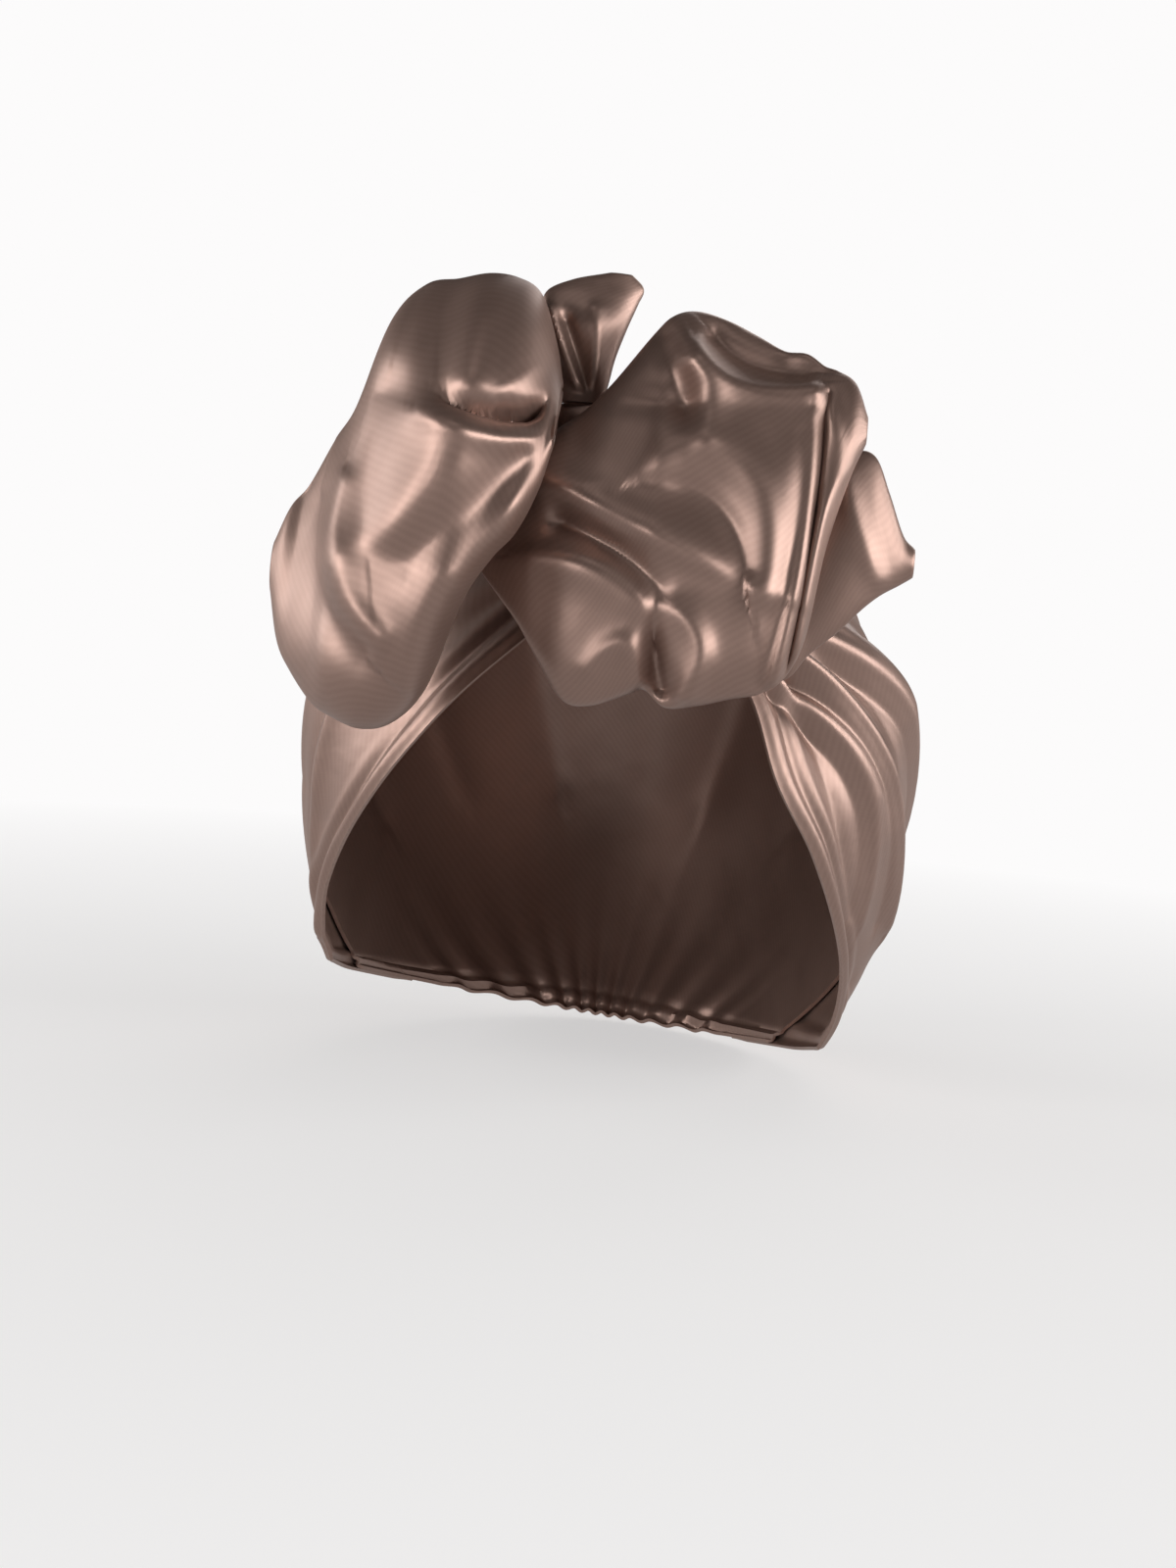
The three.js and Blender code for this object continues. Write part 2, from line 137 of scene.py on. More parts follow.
# ---- side wraps, from the knot to the lower hem, by the fan's angles at the front and back edges
WRAP_ROW = "front_a front_b back_a back_b"
LEFT_WRAP = table(
    WRAP_ROW,
    (-143, 9.5, -84, 9.5),
    (-134, 24, -82, 26),
    (-129, 37, -81, 42),
    (-124.5, 50, -80, 60),
    (-120, 62, -80, 78),
    (-117, 74, -80, 94),
    (-115.5, 86, -80, 109),
    (-115, 97, -80, 124),
)
RIGHT_WRAP = table(
    WRAP_ROW,
    (116, 9.5, 84, 9.5),
    (121, 24, 81, 26),
    (129, 37, 76, 42),
    (126.5, 51, 71, 60),
    (123.5, 65, 70, 78),
    (120, 79, 72, 94),
    (117.5, 92, 75, 110),
    (116, 106, 78, 126),
)

# ---- bow pieces: sections along the piece, each a ring from low to high that bulges front and back
SECTION = "at low high low_y high_y front back"
LEFT_LOOP = table(
    SECTION,
    (-9.5, -3, 11, -120, -103, 5, 4),
    (-12, -13, 21, -121, -101, 9, 6),
    (-16, -22, 31, -121, -99, 16, 9),
    (-21, -28, 34, -120, -99, 21, 14),
    (-27, -38, 34.5, -118, -99, 26, 20),
    (-34, -57, 33, -113, -98, 28, 25),
    (-41, -65, 31.5, -109, -97, 28, 27),
    (-48, -67, 24, -107, -95, 26, 27),
    (-55, -65, 5, -104, -92, 22, 25),
    (-60, -62.5, -3, -101, -90, 16, 21),
    (-66, -56, -14, -97, -88, 10, 15),
    (-70, -50, -19, -93, -87, 7, 9),
    (-73, -39, -27, -89, -88, 4, 3.5),
)
LEFT_LOOP_FOLDS = table(
    FOLD,
    (-5, 8, -17, 0.5, -31, 6, -19, -2, 2.6, 1.6, -3),  # the tuck under the upper roll
    (-8, -1, -20, -6, -36, 1, 3, 2, 4, 2, 0),  # the lip of the flap below it
    (-23, 5, -17, 9, -12, 16, 0.5, 0.1, 1.1, 1.5, 0),  # gathers that run into the tuck
    (-17, 5, -12, 8, -9, 14, 0.6, 0.1, 1, 1.4, 0),
    (-33, 0, -30, -17, -50, -30, 4, 3, 7, 8, 0),  # the flap's bright ridge
    (-14, -7, -26.5, -20.5, -36, -30, -4.5, -2, 6, 6, 0),  # its hollow
    (-10, -3, -15, -19.5, -26, -33, 3, 2.5, 4, 4, 0),  # its rounded edge
    (-24, -34, -36, -40, -36, -57, 2, 1, 4, 4, 0),
    (-46, 5, -49, -12, -46, -28, -4, -3, 7, 6, 0),
    (-61, -19, -63, -36, -46, -50, -6, -4, 2.4, 8, 0),  # where the back lobe starts
    (-54, -14, -58, -34, -42, -47, 2.5, 2.5, 3.5, 5, 0),
)
RIGHT_LOOP = table(
    SECTION,
    (-24, -30.5, -23, -101, -101, 2, 2),
    (-21, -34, -16, -102, -101, 3, 2.5),
    (-15, -41, -7, -104, -101, 5, 4),
    (-10, -48.5, 1, -105, -101, 7, 5),
    (-4, -57, 6, -106, -100, 10, 6),
    (2, -58, 13, -106, -98, 12, 7),
    (10, -55, 25, -106, -92, 14, 9),
    (14, -53.5, 29.5, -106, -90, 15, 11),
    (19, -57, 31, -107, -88, 15, 12),
    (26, -56, 29.5, -107, -87, 15, 12),
    (33, -54, 26.5, -106, -87, 15, 11),
    (39, -52.5, 23.5, -105, -89, 14, 8),
    (44, -49, 23, -103, -91, 12, 6),
    (48, -40, 20.5, -101, -92, 9, 5),
    (51, -20, 19.5, -99, -93, 7, 4),
    (55, -4, 17, -98, -94, 5, 3),
    (58, 4, 10, -96, -95, 2.5, 2.5),
)
RIGHT_LOOP_FOLDS = table(
    FOLD,
    (-12, -9.5, 16, -21, 40, -31, 6, 2, 7, 4, 0),  # two long ridges from the knot
    (-16.5, -27, 9, -24, 14, -40, 3, 2, 3, 7, 0),
    (-6, -19, 12, -26, 18, -34, -5, -1, 3.2, 3.2, 0),
    (15.5, -35, 14, -42, 18, -53, -1, -9, 3, 3.4, 0),  # the pinched swirl at the lower edge
    (2, -50, 12, -36, 13, -56, 1.5, 3, 3.4, 3.4, 0),
    (19, -35, 30, -42, 23, -54, 1.5, 3.5, 3, 3.5, 0),
    (19.6, 18.5, 30, 6, 9, -7, 4.5, 1, 5.5, 4.5, 0),  # the S over the upper half
    (-2, 9, 8, 8.6, 18, 8.4, -1, -3.5, 4.5, 4, 0),
    (12, 24, 14, 14, 19, 6, -4, -1, 4, 4, 0),
    (10, -10, 29, -6.8, 33.5, -26, -2, -4, 4, 8, 0),  # the large hollow
    (24, 1, 39, -1.5, 39, -25, 3, 0.8, 5, 5, 0),
    (19.3, 22.5, 26, 10, 45, 15.3, 3, 3, 2, 4, 0),  # the rim, and the dark mouth behind it
    (23, 25, 29.4, 18, 43.5, 18.5, -7, -9, 4, 2.5, 0),
    (46, 9, 48.6, -17.5, 42, -50, 0.8, 3, 2.2, 1.5, 0),  # two close ridges along the hem
    (54, -3, 48.4, -10, 46, -46, 2, 2.5, 1.8, 1.8, 0),
    (49, 14, 49, -15.5, 44.2, -50, -1.5, -4.5, 1.2, 1.2, 0),
    (43.5, 4, 46, -14, 38.5, -50, -0.5, -1.8, 3, 3, 0),
    (47, 14, 53, 6, 53.5, -2, 1.5, 1.5, 2.5, 2.5, 0),
)
TOP_TAIL = table(
    SECTION,
    (9, -11, -1.5, -91, -90, 2, 2),
    (14, -12, -0.5, -90, -88, 3, 3),
    (20, -13.5, 0.5, -89, -86, 4, 3),
    (27, -15, 2.5, -89, -84, 5, 3),
    (33, -15.5, 4.5, -88, -82, 4, 2.5),
    (36.5, -10, 5.5, -86, -81, 2.5, 2),
    (39, -2, 3, -83, -82, 1.2, 1.2),
)
TOP_TAIL_FOLDS = table(
    FOLD,
    (29, -14, 18.4, -10.2, 10, -5, 2.5, 2, 1.3, 1.3, 0),
    (27, -10.5, 19, -7, 11, -4.6, -3, -2.5, 1.6, 1.8, 0),
    (30, -4, 20, -2.2, 11, -4, 1.5, 1.5, 2, 2, 0),
)
RIGHT_TAIL = table(
    SECTION,
    (13, -30, -14, -79, -78, 3, 3),
    (22, -37, -12, -81, -79, 3.4, 3.4),
    (34, -44, -14, -84, -82, 3.4, 3.4),
    (44, -49.5, -20, -89, -87, 3, 3),
    (50, -43, -8, -89.5, -88, 2.8, 2.8),
    (56, -37.5, 1.5, -89, -88, 3, 2.8),
    (61, -32, 2, -88, -87, 3, 2.8),
    (65, -28.5, -6, -86, -86, 2.8, 2.8),
    (69, -26, -15, -84, -84, 2.8, 2.8),
    (72, -24, -18, -83, -83, 2.6, 2.6),
)
RIGHT_TAIL_FOLDS = table(
    FOLD,
    (54, -2, 58, -15, 64, -25, 1.5, 1, 3, 3, 0),
)
KNOT_ROLL = table(
    SECTION,
    (-43, -5, 5, -78, -77, 3, 3),
    (-36, -8.5, 9, -78, -78, 8, 8),
    (-26, -12, 11, -79, -79, 13, 13),
    (-14, -12, 10, -83, -83, 11, 14),
    (-2, -11, 8, -87, -87, 7, 12),
    (5, -13, 6, -88, -88, 5.5, 7),
    (8.6, -12, 3, -89, -89, 3, 3),
)


# ---- curves and folds
def smoothstep(x, low, high):
    t = np.clip((x - low) / (high - low), 0, 1)
    return t * t * (3 - 2 * t)


def column(rows, name, at):
    """One column of a table as a smooth curve through its rows."""
    p = np.array([row[name] for row in rows], float)
    last = len(p) - 1
    i = np.minimum(np.clip(at, 0, last).astype(int), last - 1)
    t = at - i
    p1, p2 = p[i], p[i + 1]
    p0 = np.where(i > 0, p[np.maximum(i - 1, 0)], 2 * p1 - p2)
    p3 = np.where(i < last - 1, p[np.minimum(i + 2, last)], 2 * p2 - p1)
    square = 2 * p0 - 5 * p1 + 4 * p2 - p3
    cube = 3 * p1 - p0 - 3 * p2 + p3
    return (2 * p1 + (p2 - p0) * t + square * t**2 + cube * t**3) / 2


def fold_at(fold, a, b):
    """How far one fold raises and slides the cloth at (a, b): a soft ridge or valley along a curve."""
    t = np.linspace(0, 1, FOLD_STEPS + 1)
    weights = np.array([(1 - t) ** 2, 2 * t * (1 - t), t**2])
    curve_a = weights.T @ np.array([fold["a0"], fold["a1"], fold["a2"]])
    curve_b = weights.T @ np.array([fold["b0"], fold["b1"], fold["b2"]])
    nearest = np.full(np.shape(a), np.inf)
    width = np.full(np.shape(a), float(fold["left"]))
    along = np.zeros(np.shape(a))
    for i in range(FOLD_STEPS):
        step_a, step_b = curve_a[i + 1] - curve_a[i], curve_b[i + 1] - curve_b[i]
        off_a, off_b = a - curve_a[i], b - curve_b[i]
        s = np.clip((off_a * step_a + off_b * step_b) / (step_a**2 + step_b**2), 0, 1)
        off_a, off_b = off_a - s * step_a, off_b - s * step_b
        distance = np.hypot(off_a, off_b)
        near = distance < nearest
        side = np.where(step_a * off_b - step_b * off_a > 0, fold["left"], fold["right"])
        nearest = np.where(near, distance, nearest)
        width = np.where(near, side, width)
        along = np.where(near, (i + s) / FOLD_STEPS, along)
    profile = (1 + (nearest / width) ** 2) ** -1.5
    return profile * (fold["start"] + (fold["end"] - fold["start"]) * along), profile * fold["slide"]


def all_folds(folds, a, b):
    raise_, slide = np.zeros(np.shape(a)), np.zeros(np.shape(a))
    for fold in folds:
        up, across = fold_at(fold, a, b)
        raise_, slide = raise_ + up, slide + across
    return raise_, slide


# ---- cloth round the head
def head_reach(direction):
    near = np.zeros(direction.shape[:-1])
    far = np.full(direction.shape[:-1], float(SEARCH["reach"]))
    for _ in range(SEARCH["halvings"]):
        middle = (near + far) / 2
        x, y, z = np.moveaxis(FAN_CENTRE + middle[..., None] * direction, -1, 0)
        y, z = y - HEAD["y"], z - HEAD["z"]
        depth = np.where(y < 0, HEAD["front"], HEAD["back"])
        height = np.where(z > 0, HEAD["top"], HEAD["below"])
        outside = (x / HEAD["half_width"]) ** 2 + (y / depth) ** 2 + (z / height) ** 2 > 1
        far = np.where(outside, middle, far)
        near = np.where(outside, near, middle)
    return near


def on_head(a, b, lift):
    to_knot = np.array([0, -cos(FAN_TILT), sin(FAN_TILT)])
    over_top = np.array([0, sin(FAN_TILT), cos(FAN_TILT)])
    a, b = np.radians(a)[..., None], np.radians(b)[..., None]
    round_knot = np.cos(a) * over_top + np.sin(a) * np.array([1, 0, 0])
    direction = np.cos(b) * to_knot + np.sin(b) * round_knot
    return FAN_CENTRE + (head_reach(direction) + lift)[..., None] * direction


def hem_angle(a):
    near = np.full(np.shape(a), float(SEARCH["from"]))
    far = np.full(np.shape(a), float(SEARCH["to"]))
    for _ in range(SEARCH["halvings"]):
        middle = (near + far) / 2
        x, y, z = np.moveaxis(on_head(a, middle, 0.0), -1, 0)
        below = z < HEM["level"] + HEM["slope"] * y + HEM["tilt"] * x
        far = np.where(below, middle, far)
        near = np.where(below, near, middle)
    return near


def gathered(row, turn, from_edge):
    """Small uneven gathers that fade out away from an edge."""
    bunched = np.cos(row["count"] * turn + row["uneven"] * np.sin(row["waves"] * turn))
    return row["height"] * np.exp(-from_edge / row["reach"]) * bunched


def gathers(a, b, hem):
    """Cloth bunched into the knot and drawn in round the nape."""
    turn = np.radians(a)
    at_knot = gathered(KNOT_GATHERS, turn, b - KNOT_GATHERS["from"])
    at_nape = gathered(NAPE_GATHERS, turn, hem - b)
    return at_knot + at_nape * smoothstep(NAPE_GATHERS["to"] - np.abs(a), 0, NAPE_GATHERS["fade"])


def rolled_hem(from_edge):
    hem = 0
    for row in ROLLED_HEM:
        hem = hem + row["height"] * np.exp(-(((from_edge - row["at"]) / row["width"]) ** 2))
    return hem


def crown_grid():
    across = np.linspace(0, 1, CROWN_GRID["across"])[None, :]
    down = np.linspace(0, 1, CROWN_GRID["down"])[:, None]
    a = CROWN["left"] + (CROWN["right"] - CROWN["left"]) * across + 0 * down
    hem = hem_angle(a[:1])
    b = CROWN["start"] + (hem - CROWN["start"]) * down
    from_hem = (hem - b) * CROWN["mm_a_degree"]
    lift = CROWN["lift"] + all_folds(HEAD_FOLDS + CROWN_FOLDS, a, b)[0] + rolled_hem(from_hem)
    return on_head(a, b, lift + gathers(a, b, hem))


def wrap_grid(rows):
    across = np.linspace(0, 1, WRAP_GRID["across"])[None, :]
    down = np.linspace(0, 1, WRAP_GRID["down"])[:, None]
    at = down * (len(rows) - 1)
    front_a, back_a = column(rows, "front_a", at), column(rows, "back_a", at)
    front_b, back_b = column(rows, "front_b", at), column(rows, "back_b", at)
    a = back_a + (front_a - back_a) * across
    b = back_b + (front_b - back_b) * across
    # the lower rows are drawn down onto the hem
    last = rows[-1]
    end_a = last["back_a"] + (last["front_a"] - last["back_a"]) * across
    end_b = last["back_b"] + (last["front_b"] - last["back_b"]) * across
    b = b + (hem_angle(end_a) - end_b) * down**3
    # it rises where it lies over the crown, and its back edge lies down again
    over = smoothstep(WRAP["meets"] + WRAP["fade"] - np.abs(a), 0, WRAP["fade"])
    edge = WRAP_BACK_EDGE["width"]
    over = over * (1 - WRAP_BACK_EDGE["lies_down"] * smoothstep(edge - across, 0, edge))
    from_front = (1 - across) * np.abs(front_a - back_a) * WRAP["mm_a_degree"] * np.sin(np.radians(b))
    from_hem = (1 - down) * WRAP["length"]
    lift = WRAP["lift"] + WRAP["over_crown"] * over + all_folds(HEAD_FOLDS, a, b)[0]
    return on_head(a, b, lift + rolled_hem(np.minimum(from_front, from_hem)))


# ---- the bow: bags of cloth made of rings
def bag_grid(rows, size, folds=(), upright=False):
    """Rings from low to high along a piece, with folds on its front only and held inside its walls."""
    down = np.linspace(0, 1, size["along"])[:, None]
    turn = np.arange(size["round"])[None, :] / size["round"] * 2 * pi - pi
    at = down * (len(rows) - 1)
    side, facing = np.sin(turn), np.cos(turn)
    low, high = column(rows, "low", at), column(rows, "high", at)
    low_y, high_y = column(rows, "low_y", at), column(rows, "high_y", at)
    front, back = column(rows, "front", at), column(rows, "back", at)
    across = (low + high) / 2 + (high - low) / 2 * side
    along = column(rows, "at", at) + 0 * turn
    room = np.maximum(front + back - TUCK["flattest"], 0) * np.abs(facing)
    from_ends = np.minimum(down, 1 - down)
    share = smoothstep(from_ends, PLAIN_ENDS["none_before"], PLAIN_ENDS["folded_from"])
    share = smoothstep(facing, 0, TUCK["front_only"]) * share
    raise_, slide = (effect * share for effect in all_folds(folds, along, across))
    inward = -room * (1 - np.exp(np.minimum(raise_, 0) / np.maximum(room, 0.01)))
    raise_ = np.where(raise_ < 0, inward, raise_)
    slide = slide * (1 - np.exp(-room / TUCK["slide_room"]))
    bulge = np.where(facing > 0, front, back) * facing
    y = (low_y + high_y) / 2 + (high_y - low_y) / 2 * side - bulge - raise_
    across = across + slide
    return np.stack([across + BOW_X, y, along] if upright else [along + BOW_X, y, across], -1)


def mouth(size, first_row, last_row):
    """The faces that a loop leaves out of its back wall, where it opens towards the knot."""
    first, last = round(size["round"] * MOUTH["first"]), round(size["round"] * MOUTH["last"])
    rows = range(round(size["along"] * first_row), round(size["along"] * last_row))
    return {(i, j % size["round"]) for i in rows for j in range(first, last)}


# ---- meshes
def arc_lengths(points, axis):
    """Distance along the cloth from the middle of each line of the grid."""
    steps = np.linalg.norm(np.diff(points, axis=axis), axis=-1)
    pad = [(1, 0) if k == axis else (0, 0) for k in range(2)]
    run = np.cumsum(np.pad(steps, pad), axis=axis)
    return run - np.take(run, [run.shape[axis] // 2], axis=axis)


def cloth_faces(grid, even, closed, left_out):
    """Each cell of the grid as a face, with the place of its corners on the cloth in metres."""
    columns = grid.shape[1]
    wide = np.concatenate([even, even[:, :1]], 1) if closed else even
    uv = np.stack([arc_lengths(wide, 1), arc_lengths(wide, 0)], -1) * MM
    faces, face_uv = [], []
    for i in range(grid.shape[0] - 1):
        for j in range(wide.shape[1] - 1):
            if (i, j) not in left_out:
                corners = [(i, j), (i, j + 1), (i + 1, j + 1), (i + 1, j)]
                faces.append([r * columns + c % columns for r, c in corners])
                face_uv += [uv[r, c] for r, c in corners]
    return faces, face_uv, uv


def add_cap(points, faces, face_uv, ring, row, row_uv):
    """Closes a ring of points at one end of a bag with a fan of triangles."""
    points.append(ring.mean(0))
    first = row * len(ring)
    for j in range(len(ring)):
        faces.append([first + j, first + (j + 1) % len(ring), len(points) - 1])
        face_uv += [row_uv[j], row_uv[j + 1], row_uv.mean(0)]


def finish_cloth(piece, thickness):
    """Gives a surface its wall, turns its faces outwards and shades its curves smooth."""
    bpy.ops.object.select_all(action="DESELECT")
    piece.select_set(True)
    bpy.context.view_layer.objects.active = piece
    if thickness:
        wall = piece.modifiers.new("wall", "SOLIDIFY")
        wall.thickness, wall.offset = thickness * MM, 0
        bpy.ops.object.modifier_apply(modifier="wall")
    bpy.ops.object.mode_set(mode="EDIT")
    bpy.ops.mesh.select_all(action="SELECT")
    bpy.ops.mesh.delete_loose()
    bpy.ops.mesh.select_all(action="SELECT")
    bpy.ops.mesh.normals_make_consistent(inside=False)
    bpy.ops.object.mode_set(mode="OBJECT")
    bpy.ops.object.shade_smooth_by_angle(angle=radians(60))


def cloth_piece(name, grid, plain=None, closed=False, left_out=(), start_cap=False, thickness=CLOTH):
    """A cloth surface from a grid of points in millimetres, with its UV map in metres of cloth.

    plain is the same grid before its folds, so the weave runs straight through them.
    """
    faces, face_uv, uv = cloth_faces(grid, grid if plain is None else plain, closed, left_out)
    points = list(grid.reshape(-1, 3))
    if closed and start_cap:
        add_cap(points, faces, face_uv, grid[0], 0, uv[0])
    if closed:
        add_cap(points, faces, face_uv, grid[-1], len(grid) - 1, uv[-1])
    mesh = bpy.data.meshes.new(name)
    mesh.from_pydata([tuple(p) for p in np.array(points) * MM], [], faces)
    mesh.uv_layers.new(name="cloth")
    mesh.uv_layers["cloth"].data.foreach_set("uv", np.array(face_uv).ravel())
    piece = bpy.data.objects.new(name, mesh)
    bpy.context.collection.objects.link(piece)
    finish_cloth(piece, thickness)
    return piece


def loop_piece(name, rows, folds, opening):
    return cloth_piece(
        name,
        bag_grid(rows, LOOP, folds),
        plain=bag_grid(rows, LOOP),
        closed=True,
        left_out=mouth(LOOP, *opening),
        start_cap=True,
    )


# ---- satin
TWILL = {"apart": 1.5, "slant": 38, "contrast": 0.6}
WAVES_A_METRE = 20 / (2 * pi)  # of Blender's wave texture at scale 1


def linear(hex_colour):
    channels = [int(hex_colour[k : k + 2], 16) / 255 for k in (1, 3, 5)]
    return [c / 12.92 if c <= 0.04045 else ((c + 0.055) / 1.055) ** 2.4 for c in channels] + [1.0]


def node(tree, kind, settings=(), links=()):
    """Adds a node with its settings, each an attribute or a socket's value, and its links."""
    made = tree.nodes.new(kind)
    for name, value in dict(settings).items():
        if isinstance(name, str) and hasattr(made, name):
            setattr(made, name, value)
        else:
            made.inputs[name].default_value = value
    for name, source in dict(links).items():
        tree.links.new(source, made.inputs[name])
    return made


def satin(name, base, shade):
    """Mocha polyester satin, woven with long floats over a fine diagonal twill and piece dyed.

    Its smooth filaments give broad soft highlights in the cloth's own colour, which a part metallic
    shader has too, drawn out a little across the threads.
    """
    material = bpy.data.materials.new(name)
    material.use_nodes = True
    tree = material.node_tree
    tree.nodes.clear()
    cloth = node(tree, "ShaderNodeUVMap", {"uv_map": "cloth"}).outputs["UV"]
    slant = {"Rotation": (0, 0, radians(TWILL["slant"]))}
    slanted = node(tree, "ShaderNodeMapping", slant, {"Vector": cloth}).outputs[0]
    # the satin's twill lines are 0.4 mm apart, too fine to show, so they are drawn 1.5 mm apart
    twill = node(
        tree,
        "ShaderNodeTexWave",
        {
            "Scale": 1 / (TWILL["apart"] * MM) / WAVES_A_METRE,
            "Distortion": 1.2,
            "Detail": 2,
            "Detail Scale": 1.5,
        },
        {"Vector": slanted},
    ).outputs["Fac"]
    soft_twill = node(
        tree,
        "ShaderNodeMath",
        {"operation": "MULTIPLY_ADD", 1: TWILL["contrast"], 2: (1 - TWILL["contrast"]) / 2},
        {0: twill},
    ).outputs[0]
    # slubs: threads about 0.5 mm wide that vary a little along 12 mm
    per_metre = {"Scale": (80, 1800, 1)}
    threads = node(tree, "ShaderNodeMapping", per_metre, {"Vector": slanted}).outputs[0]
    slubbed = {"Scale": 1, "Detail": 2}
    slub = node(tree, "ShaderNodeTexNoise", slubbed, {"Vector": threads}).outputs["Fac"]
    # soft handling creases about 14 mm apart
    creased = {"Scale": 70, "Detail": 3}
    crease = node(tree, "ShaderNodeTexNoise", creased, {"Vector": cloth}).outputs["Fac"]
    weave = node(
        tree,
        "ShaderNodeMath",
        {"operation": "MULTIPLY_ADD", 1: 0.6},
        {0: slub, 2: soft_twill},
    ).outputs[0]
    tone = node(tree, "ShaderNodeMapRange", {1: 0.2, 2: 1.4, 3: 0.25, 4: 1.0}, {0: weave}).outputs[0]
    colour = node(
        tree,
        "ShaderNodeMix",
        {"data_type": "RGBA", 6: linear(shade), 7: linear(base)},
        {0: tone},
    ).outputs[2]
    rough = node(tree, "ShaderNodeMapRange", {1: 0.3, 2: 0.7, 3: 0.37, 4: 0.47}, {0: crease}).outputs[0]
    soft = node(
        tree,
        "ShaderNodeBump",
        {"Strength": 0.25, "Distance": 0.8 * MM},
        {"Height": crease},
    ).outputs[0]
    bump = node(
        tree,
        "ShaderNodeBump",
        {"Strength": 0.2, "Distance": 0.02 * MM},
        {"Height": weave, "Normal": soft},
    ).outputs[0]
    shader = node(
        tree,
        "ShaderNodeBsdfPrincipled",
        {"Metallic": 0.72, "IOR": 1.5, "Specular IOR Level": 0.5, "Anisotropic": 0.35},
        {"Base Color": colour, "Roughness": rough, "Normal": bump},
    )
    node(tree, "ShaderNodeOutputMaterial", {}, {"Surface": shader.outputs[0]})
    return material


satin_cloth = satin("mocha_polyester_satin", "#9a7f74", "#8e7469")


def dress(piece, cad_node):
    piece.data.materials.clear()
    piece.data.materials.append(satin_cloth)
    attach(piece, "root")
    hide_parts(cad_node)
    return piece


# ---- camera
TARGET = Vector((-2, -38.4, -80.64)) * MM
CAMERA = {"azimuth": 0.0489, "elevation": 0.0733, "roll": 0.0785, "distance": 0.5645, "lens": 51.5}


def add_camera():
    az, el, roll = CAMERA["azimuth"], CAMERA["elevation"], CAMERA["roll"]
    back = Vector((sin(az) * cos(el), -cos(az) * cos(el), sin(el)))
    level = (-back).cross(Vector((0, 0, 1))).normalized()
    upright = level.cross(-back)
    right = level * cos(roll) + upright * sin(roll)
    up = upright * cos(roll) - level * sin(roll)
    camera = bpy.data.objects.new("camera", bpy.data.cameras.new("camera"))
    camera.data.lens = CAMERA["lens"]
    camera.data.sensor_width = 36
    camera.data.clip_start = 0.01
    bpy.context.collection.objects.link(camera)
    place = Matrix((right, up, back)).transposed().to_4x4()
    place.translation = TARGET + back * CAMERA["distance"]
    camera.matrix_world = place
    bpy.context.scene.camera = camera


# ---- floor and light
FLOOR_Z = -0.1608
BACKDROP = "#fcfbfb"
SWEEP = {"evenly_lit": 0.7, "near_share": 0.45, "light_on_cloth": 0.5}
AIM = Vector((0, -0.05, -0.05))
LIGHTS = table(
    "x y z size power",  # metres and watts
    (-1.5, -0.8, 0.12, 0.9, 19),  # a large softbox at each side of the front
    (1.5, -0.7, 0.15, 0.9, 20),
    (1.7, 0.35, 0.3, 0.8, 12),  # two more at the sides, a little behind
    (-1.7, 0.35, 0.3, 0.8, 9),
    (-0.7, -1.2, -0.05, 0.35, 3.5),  # a low one for the undersides of the bow
    (0.0, -0.9, 1.3, 0.7, 1),  # a weak one above the front
    (0.5, 1.5, 0.9, 1.0, 6),  # one behind, for the back of the crown
)


def pale_paper():
    """A matt paper sweep that is lit evenly further out, so it has no edge against the backdrop."""
    material = bpy.data.materials.new("pale_paper")
    material.use_nodes = True
    tree = material.node_tree
    tree.nodes.clear()
    place = node(tree, "ShaderNodeTexCoord").outputs["Object"]
    distance = node(tree, "ShaderNodeVectorMath", {"operation": "LENGTH"}, {0: place}).outputs["Value"]
    spread = {1: 0.0, 2: SWEEP["evenly_lit"], 3: SWEEP["near_share"]}
    far = node(tree, "ShaderNodeMapRange", spread, {0: distance}).outputs[0]
    paper = node(tree, "ShaderNodeBsdfDiffuse", {"Color": linear("#f4f2f0")}).outputs[0]
    bright = {"Color": linear(BACKDROP), "Strength": 1.0}
    lit = node(tree, "ShaderNodeEmission", bright).outputs[0]
    sweep = node(tree, "ShaderNodeMixShader", {}, {0: far, 1: paper, 2: lit}).outputs[0]
    # the cloth itself is lit by a dimmer floor, as on a stand well clear of the paper
    dimmer = {"Color": linear(BACKDROP), "Strength": SWEEP["light_on_cloth"]}
    dim = node(tree, "ShaderNodeEmission", dimmer).outputs[0]
    seen = node(tree, "ShaderNodeLightPath").outputs["Is Camera Ray"]
    both = node(tree, "ShaderNodeMixShader", {}, {0: seen, 1: dim, 2: sweep}).outputs[0]
    node(tree, "ShaderNodeOutputMaterial", {}, {"Surface": both})
    return material


def add_floor():
    bpy.ops.object.select_all(action="DESELECT")
    bpy.ops.mesh.primitive_circle_add(vertices=96, radius=6, fill_type="NGON", location=(0, 0, 0))
    floor = bpy.context.object
    floor.name = "floor"
    for vertex in floor.data.vertices:
        vertex.co.z = FLOOR_Z
    floor.data.materials.append(pale_paper())


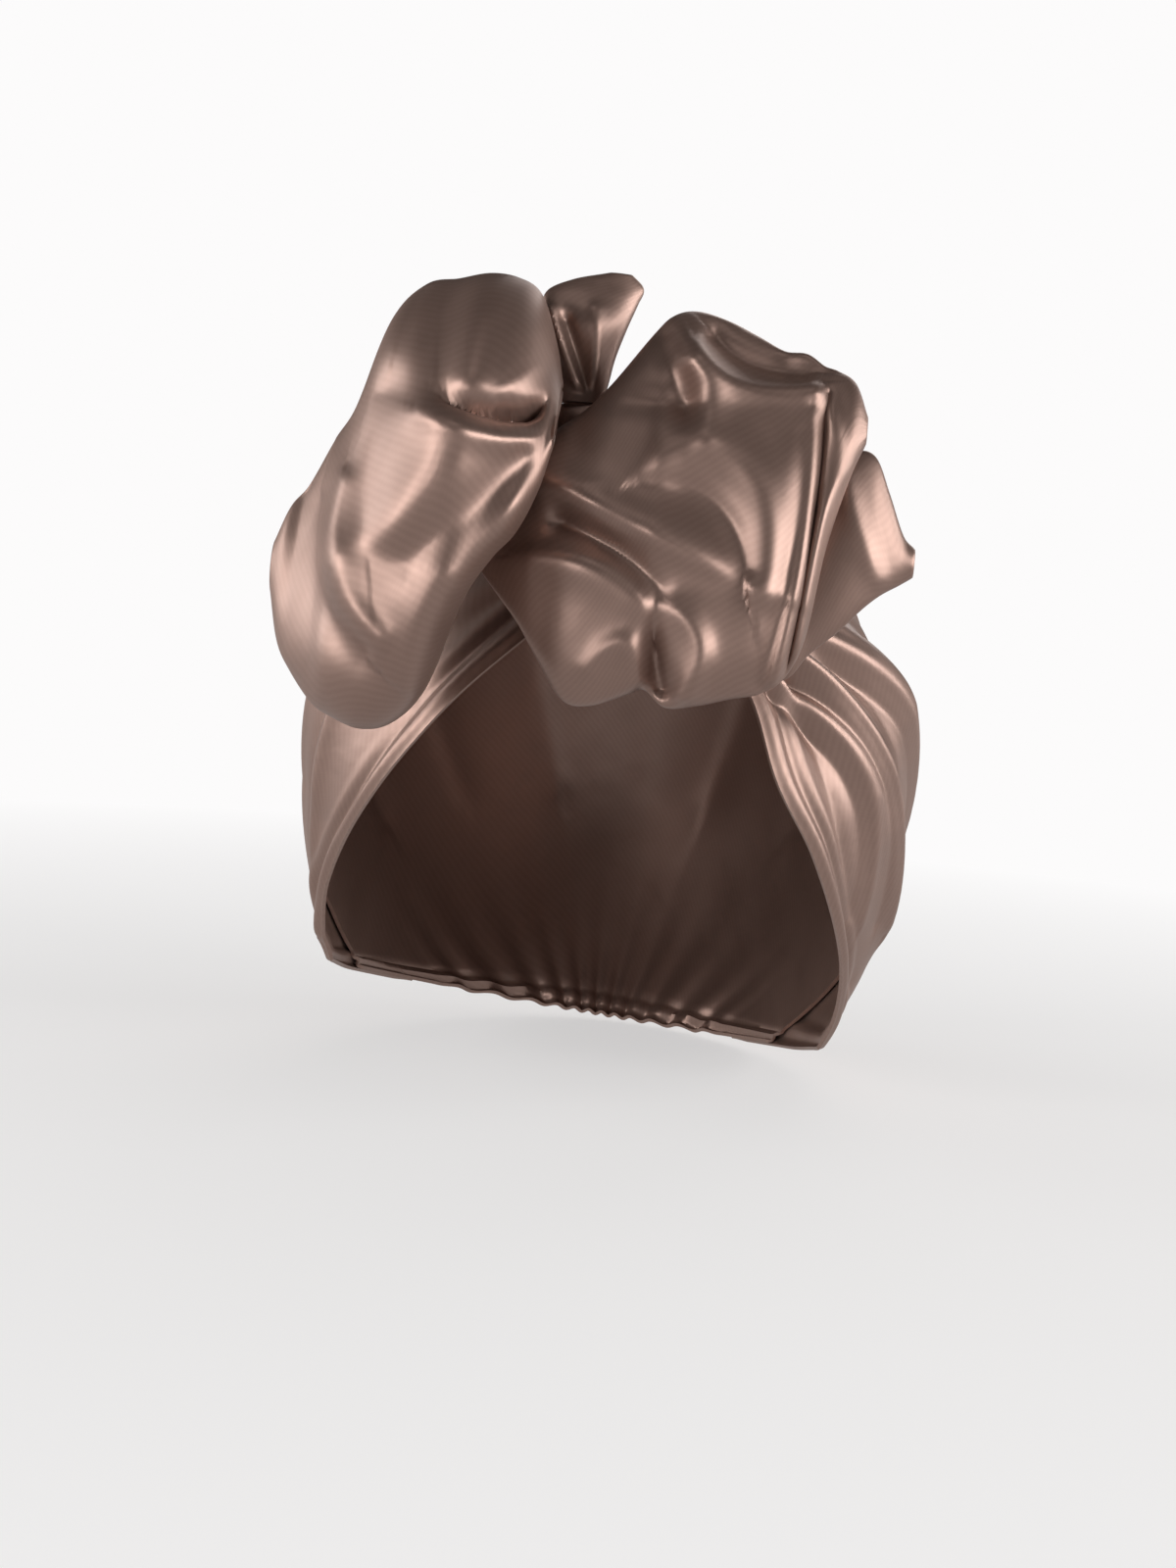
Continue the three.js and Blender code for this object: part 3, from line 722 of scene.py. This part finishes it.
def add_lights():
    for k, row in enumerate(LIGHTS):
        light = bpy.data.objects.new(f"softbox_{k}", bpy.data.lights.new(f"softbox_{k}", "AREA"))
        light.data.size, light.data.energy = row["size"], row["power"]
        bpy.context.collection.objects.link(light)
        light.location = (row["x"], row["y"], row["z"])
        light.rotation_euler = (AIM - light.location).to_track_quat("-Z", "Y").to_euler()


def add_backdrop():
    """A pale even backdrop that gives the object only a little fill light."""
    world = bpy.data.worlds.new("studio")
    bpy.context.scene.world = world
    world.use_nodes = True
    tree = world.node_tree
    tree.nodes.clear()
    rays = node(tree, "ShaderNodeLightPath").outputs["Is Camera Ray"]
    fill = {"Color": linear("#e9e6e4"), "Strength": 0.06}
    dim = node(tree, "ShaderNodeBackground", fill).outputs[0]
    backdrop = {"Color": linear(BACKDROP), "Strength": 1.0}
    seen = node(tree, "ShaderNodeBackground", backdrop).outputs[0]
    both = node(tree, "ShaderNodeMixShader", {}, {0: rays, 1: dim, 2: seen}).outputs[0]
    node(tree, "ShaderNodeOutputWorld", {}, {"Surface": both})
    bpy.context.scene.view_settings.view_transform = "Standard"


# ---- the assembly
add_camera()
add_floor()
add_lights()
add_backdrop()

crown = dress(cloth_piece("crown_satin", crown_grid()), "crown")
left_wrap = dress(cloth_piece("left_wrap_satin", wrap_grid(LEFT_WRAP)), "left_side_wrap")
right_wrap = dress(cloth_piece("right_wrap_satin", wrap_grid(RIGHT_WRAP)), "right_side_wrap")
left_loop = dress(
    loop_piece("left_loop_satin", LEFT_LOOP, LEFT_LOOP_FOLDS, LEFT_MOUTH),
    "left_loop",
)
right_loop = dress(
    loop_piece("right_loop_satin", RIGHT_LOOP, RIGHT_LOOP_FOLDS, RIGHT_MOUTH),
    "right_loop",
)
top_tail = dress(
    cloth_piece("top_tail_satin", bag_grid(TOP_TAIL, TAIL, TOP_TAIL_FOLDS, upright=True), closed=True),
    "top_tail",
)
right_tail = dress(
    cloth_piece("right_tail_satin", bag_grid(RIGHT_TAIL, TAIL, RIGHT_TAIL_FOLDS), closed=True),
    "right_tail",
)
knot_grid = bag_grid(KNOT_ROLL, KNOT, upright=True)
knot = dress(
    cloth_piece("knot_satin", knot_grid, closed=True, start_cap=True, thickness=0),
    "knot",
)
